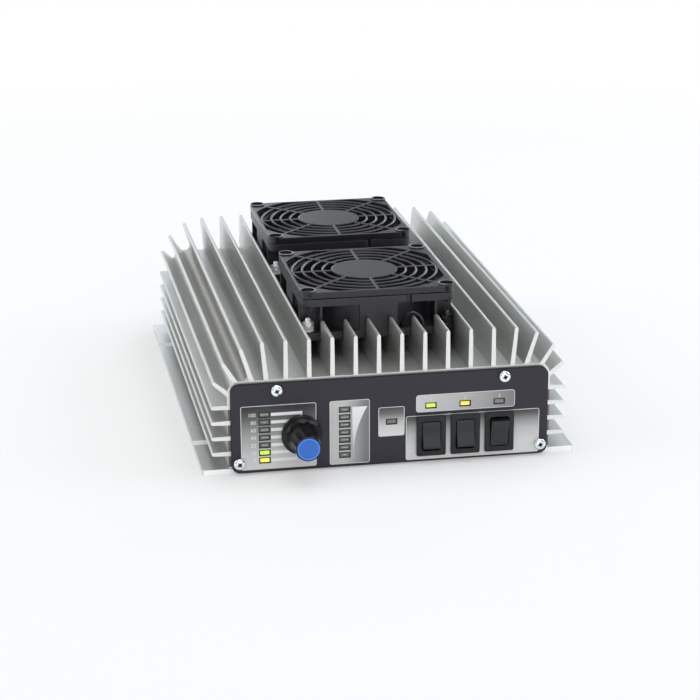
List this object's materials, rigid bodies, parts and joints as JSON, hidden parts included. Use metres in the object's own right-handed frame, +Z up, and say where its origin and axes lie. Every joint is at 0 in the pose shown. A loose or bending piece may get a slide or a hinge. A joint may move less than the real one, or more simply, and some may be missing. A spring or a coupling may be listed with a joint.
{
  "type": "hf linear amplifier",
  "caption": "Desktop radio power amplifier in a finned extruded case with top cooling fans, level displays, rocker switches and a gain knob.",
  "frame": {"origin": "middle of the underside of the base plate", "axes": "+X to the right seen from the front panel, +Y from the front panel to the rear, +Z up"},
  "size_m": [0.1904, 0.2918, 0.0835],
  "materials": {
    "bare_aluminium": "satin extruded",
    "panel_paint": "satin",
    "zinc_steel": "zinc plated",
    "black_steel": "black plated",
    "switch_plastic": "fine grain",
    "rocker_plastic": "satin",
    "knob_plastic": "satin",
    "blue_plastic": "satin",
    "nickel": "nickel plated",
    "smoked_lens": "diffuse lens",
    "green_lens": "lit lens",
    "yellow_lens": "lit lens",
    "board_green": "solder resist",
    "gland_plastic": "satin",
    "relay_plastic": "moulded",
    "ceramic_white": "unglazed",
    "ferrite": "sintered",
    "fan_plastic": "satin",
    "lead_plastic": "satin"
  },
  "bodies": {
    "case": {"heatsink": "bare_aluminium", "base_plate": "bare_aluminium", "front_panel": "panel_paint", "rear_panel": "panel_paint", "panel_screw_upper_left": "zinc_steel", "panel_screw_upper_right": "zinc_steel", "panel_screw_lower_left": "zinc_steel", "panel_screw_lower_right": "zinc_steel", "amplifier_switch_body": "switch_plastic", "preamp_switch_body": "switch_plastic", "mode_switch_body": "switch_plastic", "gain_control": "nickel", "control_nut": "nickel", "input_socket": "nickel", "output_socket": "nickel", "keying_jack": "nickel", "input_level_leds": "smoked_lens", "output_level_leds": "smoked_lens", "led_transmit": "smoked_lens", "led_protection": "smoked_lens", "led_power": "green_lens", "led_bypass": "yellow_lens", "display_board": "board_green", "amplifier_board": "board_green", "supply_lead_gland": "gland_plastic", "aerial_relay": "relay_plastic", "power_transistor_1": "ceramic_white", "power_transistor_2": "ceramic_white", "output_transformer": "ferrite", "input_transformer": "ferrite", "front_fan_frame": "fan_plastic", "front_fan_guard": "fan_plastic", "front_fan_lead": "lead_plastic", "front_guard_screw_1": "black_steel", "front_guard_screw_2": "black_steel", "front_guard_screw_3": "black_steel", "front_guard_screw_4": "black_steel", "front_fan_bolt_1": "zinc_steel", "front_fan_bolt_2": "zinc_steel", "front_fan_bolt_3": "zinc_steel", "front_fan_bolt_4": "zinc_steel", "rear_fan_frame": "fan_plastic", "rear_fan_guard": "fan_plastic", "rear_fan_lead": "lead_plastic", "rear_guard_screw_1": "black_steel", "rear_guard_screw_2": "black_steel", "rear_guard_screw_3": "black_steel", "rear_guard_screw_4": "black_steel", "rear_fan_bolt_1": "zinc_steel", "rear_fan_bolt_2": "zinc_steel", "rear_fan_bolt_3": "zinc_steel", "rear_fan_bolt_4": "zinc_steel"},
    "amplifier_rocker": {"amplifier_rocker": "rocker_plastic"},
    "preamp_rocker": {"preamp_rocker": "rocker_plastic"},
    "mode_rocker": {"mode_rocker": "rocker_plastic"},
    "gain_knob": {"gain_knob": "knob_plastic", "knob_cap": "blue_plastic", "control_shaft": "nickel"},
    "front_fan_rotor": {"front_fan_rotor": "fan_plastic"},
    "rear_fan_rotor": {"rear_fan_rotor": "fan_plastic"}
  },
  "joints": [
    {"name": "amplifier_switch", "type": "hinge", "parent": "case", "child": "amplifier_rocker", "pos_m": [0.0202, -0.1247, 0.0147], "axis": [1, 0, 0], "range_deg": [0, 22]},
    {"name": "preamp_switch", "type": "hinge", "parent": "case", "child": "preamp_rocker", "pos_m": [0.03775, -0.1247, 0.0147], "axis": [1, 0, 0], "range_deg": [0, 22]},
    {"name": "mode_switch", "type": "hinge", "parent": "case", "child": "mode_rocker", "pos_m": [0.0553, -0.1247, 0.0147], "axis": [1, 0, 0], "range_deg": [-22, 0]},
    {"name": "gain_turn", "type": "hinge", "parent": "case", "child": "gain_knob", "pos_m": [-0.0456, -0.1258, 0.0199], "axis": [0, 1, 0], "range_deg": [-150, 150]},
    {"name": "front_fan_spin", "type": "hinge", "parent": "case", "child": "front_fan_rotor", "pos_m": [0, -0.0538, 0.0675], "axis": [0, 0, 1], "continuous": true},
    {"name": "rear_fan_spin", "type": "hinge", "parent": "case", "child": "rear_fan_rotor", "pos_m": [0, 0.0538, 0.0675], "axis": [0, 0, 1], "continuous": true}
  ]
}
